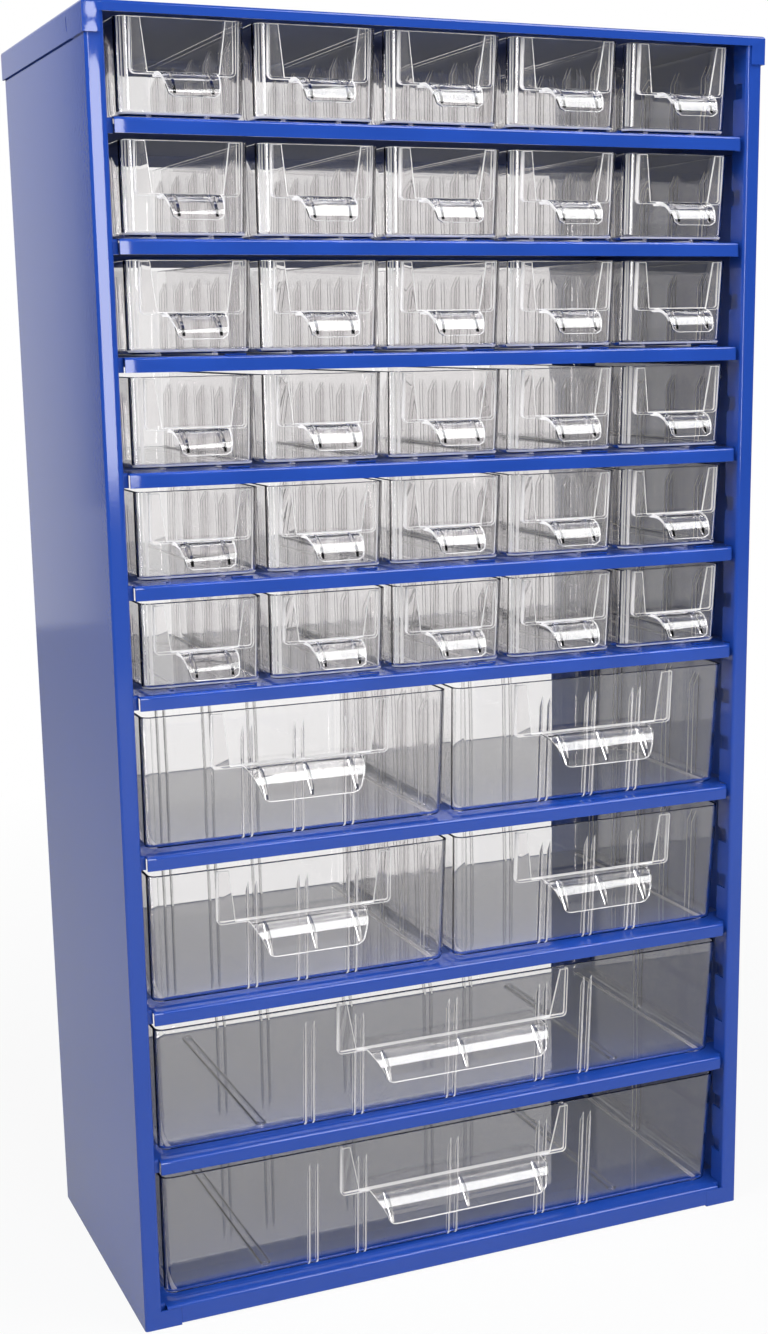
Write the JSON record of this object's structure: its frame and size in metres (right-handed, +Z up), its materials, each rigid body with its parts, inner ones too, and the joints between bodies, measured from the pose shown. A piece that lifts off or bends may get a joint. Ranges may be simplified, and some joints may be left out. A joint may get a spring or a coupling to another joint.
{
  "type": "small parts drawer cabinet",
  "caption": "Free-standing cabinet of folded blue sheet steel with open shelves that carry clear moulded drawers in small, medium and large sizes, each with a label holder and a curved pull.",
  "frame": {"origin": "centre of the footprint on the surface that the cabinet stands on, with the drawer pulls counted in its depth", "axes": "+X to the right seen from the front, +Y to the back, +Z up"},
  "size_m": [0.306, 0.16, 0.5537],
  "materials": {
    "blue_enamel_steel": "smooth glossy baked enamel",
    "clear_polystyrene": "clear and polished"
  },
  "bodies": {
    "cabinet": {"top_cover": "blue_enamel_steel", "left_side_panel": "blue_enamel_steel", "right_side_panel": "blue_enamel_steel", "bottom_panel": "blue_enamel_steel", "shelf_1": "blue_enamel_steel", "shelf_2": "blue_enamel_steel", "shelf_3": "blue_enamel_steel", "shelf_4": "blue_enamel_steel", "shelf_5": "blue_enamel_steel", "shelf_6": "blue_enamel_steel", "shelf_7": "blue_enamel_steel", "shelf_8": "blue_enamel_steel", "shelf_9": "blue_enamel_steel"},
    "large_drawer_1": {"large_drawer_1": "clear_polystyrene"},
    "large_drawer_2": {"large_drawer_2": "clear_polystyrene"},
    "medium_drawer_1_1": {"medium_drawer_1_1": "clear_polystyrene"},
    "medium_drawer_1_2": {"medium_drawer_1_2": "clear_polystyrene"},
    "medium_drawer_2_1": {"medium_drawer_2_1": "clear_polystyrene"},
    "medium_drawer_2_2": {"medium_drawer_2_2": "clear_polystyrene"},
    "small_drawer_1_1": {"small_drawer_1_1": "clear_polystyrene"},
    "small_drawer_1_2": {"small_drawer_1_2": "clear_polystyrene"},
    "small_drawer_1_3": {"small_drawer_1_3": "clear_polystyrene"},
    "small_drawer_1_4": {"small_drawer_1_4": "clear_polystyrene"},
    "small_drawer_1_5": {"small_drawer_1_5": "clear_polystyrene"},
    "small_drawer_2_1": {"small_drawer_2_1": "clear_polystyrene"},
    "small_drawer_2_2": {"small_drawer_2_2": "clear_polystyrene"},
    "small_drawer_2_3": {"small_drawer_2_3": "clear_polystyrene"},
    "small_drawer_2_4": {"small_drawer_2_4": "clear_polystyrene"},
    "small_drawer_2_5": {"small_drawer_2_5": "clear_polystyrene"},
    "small_drawer_3_1": {"small_drawer_3_1": "clear_polystyrene"},
    "small_drawer_3_2": {"small_drawer_3_2": "clear_polystyrene"},
    "small_drawer_3_3": {"small_drawer_3_3": "clear_polystyrene"},
    "small_drawer_3_4": {"small_drawer_3_4": "clear_polystyrene"},
    "small_drawer_3_5": {"small_drawer_3_5": "clear_polystyrene"},
    "small_drawer_4_1": {"small_drawer_4_1": "clear_polystyrene"},
    "small_drawer_4_2": {"small_drawer_4_2": "clear_polystyrene"},
    "small_drawer_4_3": {"small_drawer_4_3": "clear_polystyrene"},
    "small_drawer_4_4": {"small_drawer_4_4": "clear_polystyrene"},
    "small_drawer_4_5": {"small_drawer_4_5": "clear_polystyrene"},
    "small_drawer_5_1": {"small_drawer_5_1": "clear_polystyrene"},
    "small_drawer_5_2": {"small_drawer_5_2": "clear_polystyrene"},
    "small_drawer_5_3": {"small_drawer_5_3": "clear_polystyrene"},
    "small_drawer_5_4": {"small_drawer_5_4": "clear_polystyrene"},
    "small_drawer_5_5": {"small_drawer_5_5": "clear_polystyrene"},
    "small_drawer_6_1": {"small_drawer_6_1": "clear_polystyrene"},
    "small_drawer_6_2": {"small_drawer_6_2": "clear_polystyrene"},
    "small_drawer_6_3": {"small_drawer_6_3": "clear_polystyrene"},
    "small_drawer_6_4": {"small_drawer_6_4": "clear_polystyrene"},
    "small_drawer_6_5": {"small_drawer_6_5": "clear_polystyrene"}
  },
  "joints": [
    {"name": "large_drawer_1_slide", "type": "slide", "parent": "cabinet", "child": "large_drawer_1", "axis": [0, -1, 0], "range_m": [0, 0.11]},
    {"name": "large_drawer_2_slide", "type": "slide", "parent": "cabinet", "child": "large_drawer_2", "axis": [0, -1, 0], "range_m": [0, 0.11]},
    {"name": "medium_drawer_1_1_slide", "type": "slide", "parent": "cabinet", "child": "medium_drawer_1_1", "axis": [0, -1, 0], "range_m": [0, 0.11]},
    {"name": "medium_drawer_1_2_slide", "type": "slide", "parent": "cabinet", "child": "medium_drawer_1_2", "axis": [0, -1, 0], "range_m": [0, 0.11]},
    {"name": "medium_drawer_2_1_slide", "type": "slide", "parent": "cabinet", "child": "medium_drawer_2_1", "axis": [0, -1, 0], "range_m": [0, 0.11]},
    {"name": "medium_drawer_2_2_slide", "type": "slide", "parent": "cabinet", "child": "medium_drawer_2_2", "axis": [0, -1, 0], "range_m": [0, 0.11]},
    {"name": "small_drawer_1_1_slide", "type": "slide", "parent": "cabinet", "child": "small_drawer_1_1", "axis": [0, -1, 0], "range_m": [0, 0.11]},
    {"name": "small_drawer_1_2_slide", "type": "slide", "parent": "cabinet", "child": "small_drawer_1_2", "axis": [0, -1, 0], "range_m": [0, 0.11]},
    {"name": "small_drawer_1_3_slide", "type": "slide", "parent": "cabinet", "child": "small_drawer_1_3", "axis": [0, -1, 0], "range_m": [0, 0.11]},
    {"name": "small_drawer_1_4_slide", "type": "slide", "parent": "cabinet", "child": "small_drawer_1_4", "axis": [0, -1, 0], "range_m": [0, 0.11]},
    {"name": "small_drawer_1_5_slide", "type": "slide", "parent": "cabinet", "child": "small_drawer_1_5", "axis": [0, -1, 0], "range_m": [0, 0.11]},
    {"name": "small_drawer_2_1_slide", "type": "slide", "parent": "cabinet", "child": "small_drawer_2_1", "axis": [0, -1, 0], "range_m": [0, 0.11]},
    {"name": "small_drawer_2_2_slide", "type": "slide", "parent": "cabinet", "child": "small_drawer_2_2", "axis": [0, -1, 0], "range_m": [0, 0.11]},
    {"name": "small_drawer_2_3_slide", "type": "slide", "parent": "cabinet", "child": "small_drawer_2_3", "axis": [0, -1, 0], "range_m": [0, 0.11]},
    {"name": "small_drawer_2_4_slide", "type": "slide", "parent": "cabinet", "child": "small_drawer_2_4", "axis": [0, -1, 0], "range_m": [0, 0.11]},
    {"name": "small_drawer_2_5_slide", "type": "slide", "parent": "cabinet", "child": "small_drawer_2_5", "axis": [0, -1, 0], "range_m": [0, 0.11]},
    {"name": "small_drawer_3_1_slide", "type": "slide", "parent": "cabinet", "child": "small_drawer_3_1", "axis": [0, -1, 0], "range_m": [0, 0.11]},
    {"name": "small_drawer_3_2_slide", "type": "slide", "parent": "cabinet", "child": "small_drawer_3_2", "axis": [0, -1, 0], "range_m": [0, 0.11]},
    {"name": "small_drawer_3_3_slide", "type": "slide", "parent": "cabinet", "child": "small_drawer_3_3", "axis": [0, -1, 0], "range_m": [0, 0.11]},
    {"name": "small_drawer_3_4_slide", "type": "slide", "parent": "cabinet", "child": "small_drawer_3_4", "axis": [0, -1, 0], "range_m": [0, 0.11]},
    {"name": "small_drawer_3_5_slide", "type": "slide", "parent": "cabinet", "child": "small_drawer_3_5", "axis": [0, -1, 0], "range_m": [0, 0.11]},
    {"name": "small_drawer_4_1_slide", "type": "slide", "parent": "cabinet", "child": "small_drawer_4_1", "axis": [0, -1, 0], "range_m": [0, 0.11]},
    {"name": "small_drawer_4_2_slide", "type": "slide", "parent": "cabinet", "child": "small_drawer_4_2", "axis": [0, -1, 0], "range_m": [0, 0.11]},
    {"name": "small_drawer_4_3_slide", "type": "slide", "parent": "cabinet", "child": "small_drawer_4_3", "axis": [0, -1, 0], "range_m": [0, 0.11]},
    {"name": "small_drawer_4_4_slide", "type": "slide", "parent": "cabinet", "child": "small_drawer_4_4", "axis": [0, -1, 0], "range_m": [0, 0.11]},
    {"name": "small_drawer_4_5_slide", "type": "slide", "parent": "cabinet", "child": "small_drawer_4_5", "axis": [0, -1, 0], "range_m": [0, 0.11]},
    {"name": "small_drawer_5_1_slide", "type": "slide", "parent": "cabinet", "child": "small_drawer_5_1", "axis": [0, -1, 0], "range_m": [0, 0.11]},
    {"name": "small_drawer_5_2_slide", "type": "slide", "parent": "cabinet", "child": "small_drawer_5_2", "axis": [0, -1, 0], "range_m": [0, 0.11]},
    {"name": "small_drawer_5_3_slide", "type": "slide", "parent": "cabinet", "child": "small_drawer_5_3", "axis": [0, -1, 0], "range_m": [0, 0.11]},
    {"name": "small_drawer_5_4_slide", "type": "slide", "parent": "cabinet", "child": "small_drawer_5_4", "axis": [0, -1, 0], "range_m": [0, 0.11]},
    {"name": "small_drawer_5_5_slide", "type": "slide", "parent": "cabinet", "child": "small_drawer_5_5", "axis": [0, -1, 0], "range_m": [0, 0.11]},
    {"name": "small_drawer_6_1_slide", "type": "slide", "parent": "cabinet", "child": "small_drawer_6_1", "axis": [0, -1, 0], "range_m": [0, 0.11]},
    {"name": "small_drawer_6_2_slide", "type": "slide", "parent": "cabinet", "child": "small_drawer_6_2", "axis": [0, -1, 0], "range_m": [0, 0.11]},
    {"name": "small_drawer_6_3_slide", "type": "slide", "parent": "cabinet", "child": "small_drawer_6_3", "axis": [0, -1, 0], "range_m": [0, 0.11]},
    {"name": "small_drawer_6_4_slide", "type": "slide", "parent": "cabinet", "child": "small_drawer_6_4", "axis": [0, -1, 0], "range_m": [0, 0.11]},
    {"name": "small_drawer_6_5_slide", "type": "slide", "parent": "cabinet", "child": "small_drawer_6_5", "axis": [0, -1, 0], "range_m": [0, 0.11]}
  ]
}
